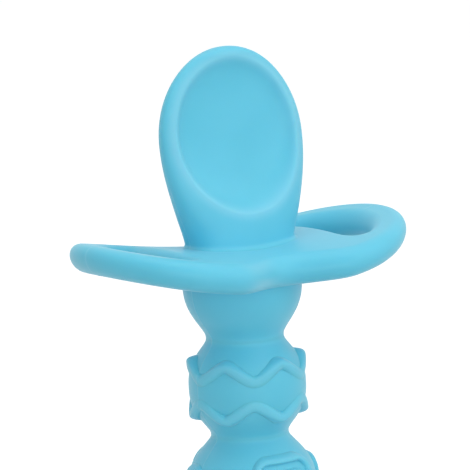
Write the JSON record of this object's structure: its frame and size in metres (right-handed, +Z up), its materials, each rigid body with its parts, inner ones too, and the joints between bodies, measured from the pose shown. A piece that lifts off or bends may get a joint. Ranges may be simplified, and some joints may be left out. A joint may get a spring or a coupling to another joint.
{
  "type": "baby spoon",
  "caption": "Soft self-feeding baby spoon with a shallow oval dish, a butterfly mouth guard with finger loops and a waisted, ridged handle.",
  "frame": {"origin": "centre of the flat end that the spoon stands on, under the middle of the guard's box", "axes": "+Z up the handle towards the spoon's tip, -Y is the way the dish faces, +/-X run to the guard's wing tips"},
  "size_m": [0.0602, 0.0364, 0.1052],
  "materials": {
    "silicone": "matte moulded silicone",
    "core": "plain moulded"
  },
  "bodies": {
    "root": {"stiffening_core": "core", "spoon_head": "silicone", "mouth_guard": "silicone", "handle_neck": "silicone", "zigzag_bulb": "silicone", "zigzag_ridge_upper": "silicone", "zigzag_ridge_lower": "silicone", "square_bulb": "silicone", "square_ridges": "silicone", "end_bulb": "silicone", "ring_ridges": "silicone"}
  },
  "joints": []
}
